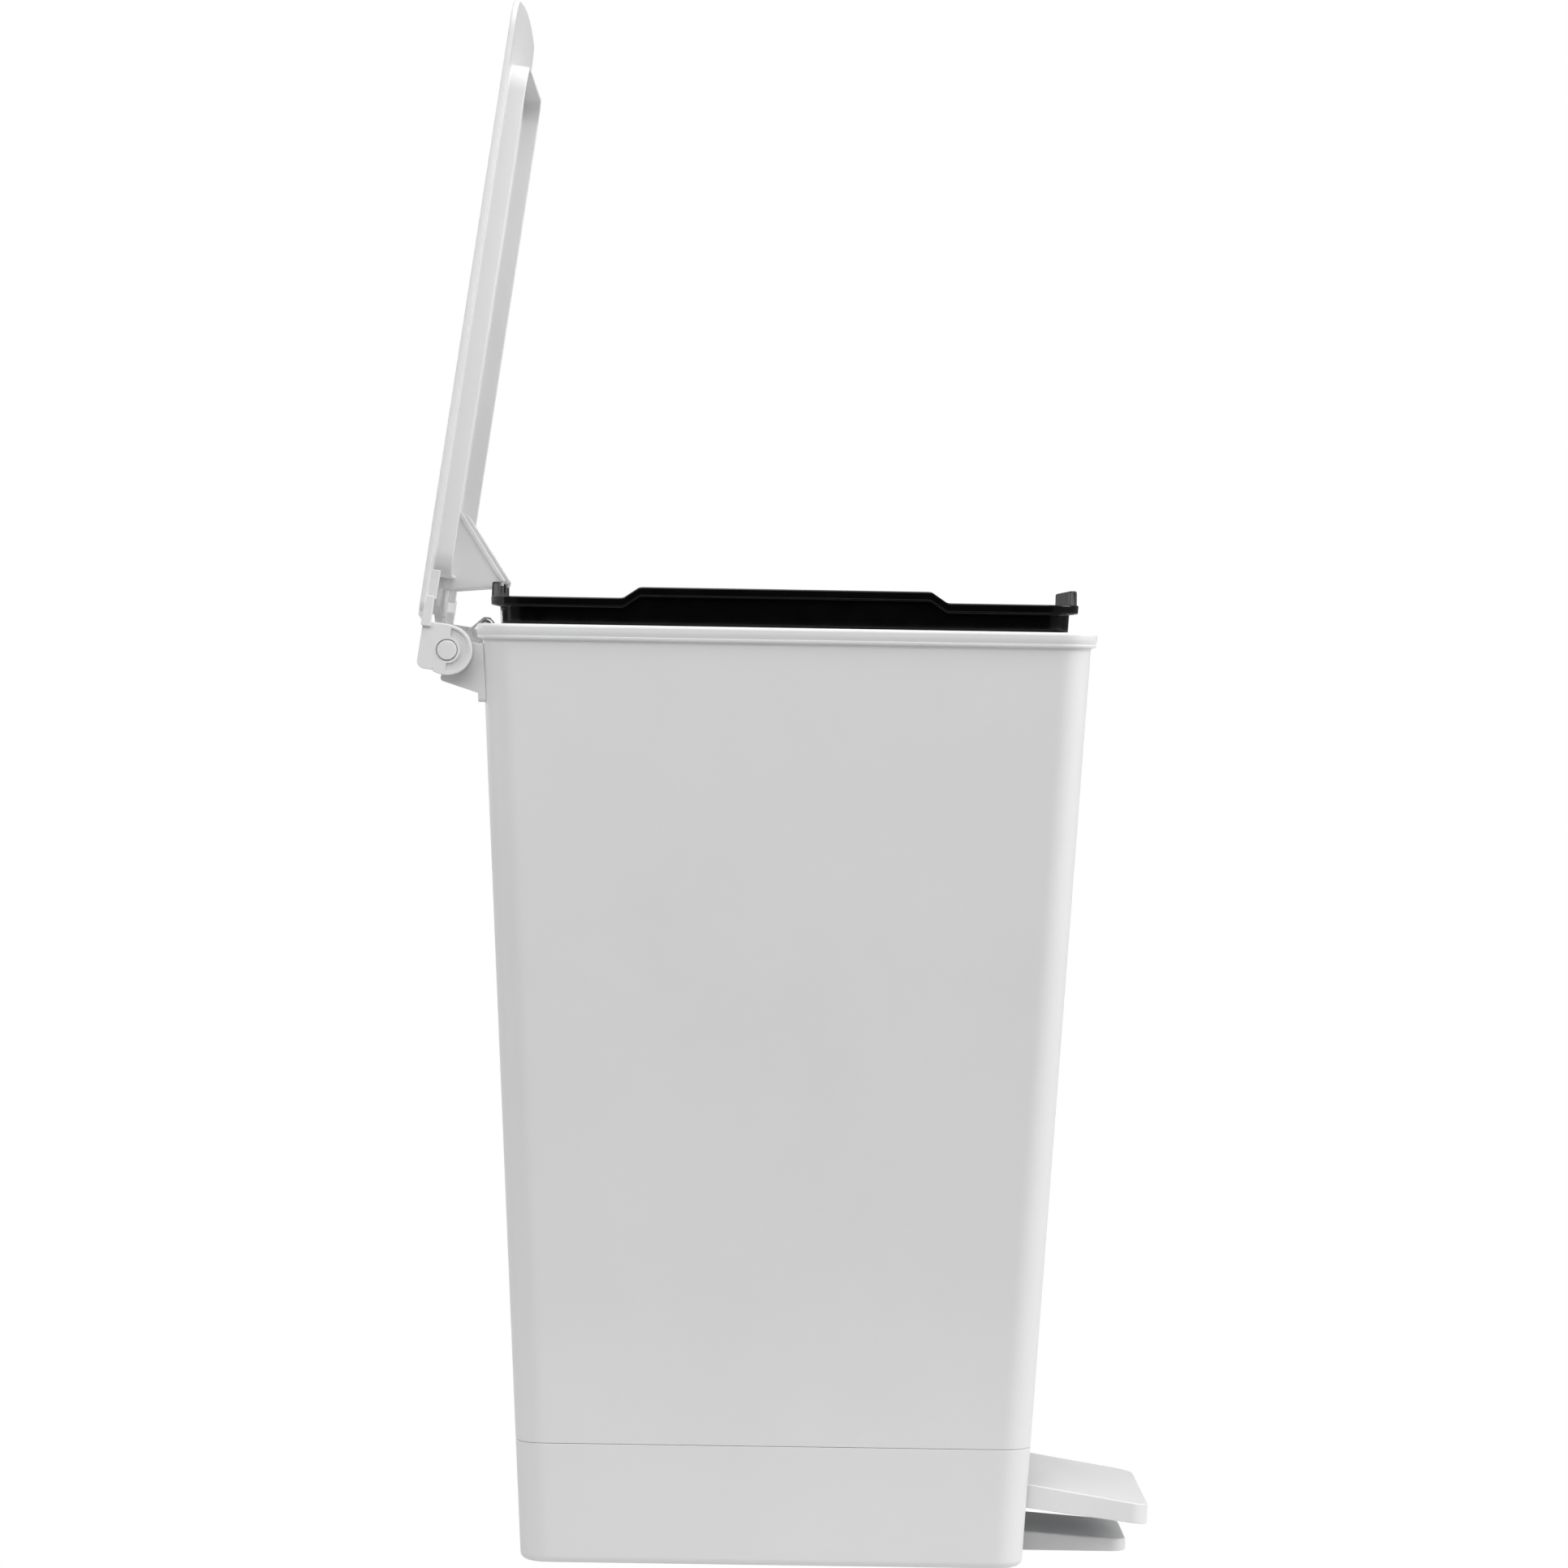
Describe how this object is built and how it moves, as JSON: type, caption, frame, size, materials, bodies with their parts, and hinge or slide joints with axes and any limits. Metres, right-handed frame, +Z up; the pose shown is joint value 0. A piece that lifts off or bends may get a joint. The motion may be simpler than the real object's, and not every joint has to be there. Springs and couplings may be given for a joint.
{
  "type": "pedal trash can",
  "caption": "Tall tapered step-on bin with a rear-hinged flat lid, a front pedal linked to it by a lever and rod, a flat front foot and a deep lift-out liner.",
  "frame": {"origin": "middle of the base's underside, on the floor", "axes": "+X towards the pedal, +Y to the left seen from behind the bin, +Z up"},
  "size_m": [0.5154, 0.29, 1.081],
  "materials": {
    "white_shell": "fine satin moulded polypropylene",
    "white_trim": "satin moulded plastic",
    "black_liner": "glossy black polypropylene",
    "grey_moulding": "satin grey acetal",
    "pad_rubber": "matte rubber",
    "zinc_steel": "zinc-plated steel"
  },
  "bodies": {
    "bin": {"body_shell": "white_shell", "base_shell": "white_shell", "stabiliser_foot": "white_trim", "hinge_bracket_left": "white_trim", "hinge_bracket_right": "white_trim", "hinge_pin_left": "white_trim", "hinge_pin_right": "white_trim", "axle_saddle_left": "grey_moulding", "axle_saddle_right": "grey_moulding", "rod_guide_lower": "grey_moulding", "rod_guide_upper": "grey_moulding", "foot_pad_front_left": "pad_rubber", "foot_pad_front_right": "pad_rubber", "foot_pad_rear_left": "pad_rubber", "foot_pad_rear_right": "pad_rubber", "pedal_axle": "zinc_steel", "axle_clip_left": "zinc_steel", "axle_clip_right": "zinc_steel", "foot_screw_left": "zinc_steel", "foot_screw_right": "zinc_steel", "bracket_screw_left_lower": "zinc_steel", "bracket_screw_left_upper": "zinc_steel", "bracket_screw_right_lower": "zinc_steel", "bracket_screw_right_upper": "zinc_steel", "saddle_screw_1": "zinc_steel", "saddle_screw_2": "zinc_steel", "saddle_screw_3": "zinc_steel", "saddle_screw_4": "zinc_steel", "case_screw_1": "zinc_steel", "case_screw_2": "zinc_steel", "case_screw_3": "zinc_steel", "case_screw_4": "zinc_steel"},
    "lid": {"lid": "white_shell"},
    "pedal": {"pedal_lever": "zinc_steel", "pedal_tread": "white_trim", "tread_screw_left": "zinc_steel", "tread_screw_right": "zinc_steel"},
    "rod": {"push_rod": "zinc_steel", "rod_clip_lower": "zinc_steel", "rod_clip_upper": "zinc_steel"},
    "liner": {"liner": "black_liner"}
  },
  "joints": [
    {"name": "lid_hinge", "type": "hinge", "parent": "bin", "child": "lid", "pos_m": [-0.232, 0, 0.6312], "axis": [0, 1, 0], "range_deg": [0, 82.05]},
    {"name": "pedal_pivot", "type": "hinge", "parent": "bin", "child": "pedal", "pos_m": [0.06, 0, 0.048], "axis": [0, 1, 0], "range_deg": [-9.13, 0]},
    {"name": "rod_slide", "type": "slide", "parent": "bin", "child": "rod", "axis": [-0.0542, 0, 0.9985], "range_m": [-0.0348, 0]},
    {"name": "liner_slide", "type": "slide", "parent": "bin", "child": "liner", "axis": [0, 0, 1], "range_m": [-0.03001, 0]}
  ],
  "couplings": [
    {"joint": "pedal_pivot", "follows": "lid_hinge", "ratio": -0.1112},
    {"joint": "rod_slide", "follows": "lid_hinge", "m_per_rad": -0.024292},
    {"joint": "liner_slide", "follows": "lid_hinge", "m_per_rad": -0.020949}
  ]
}
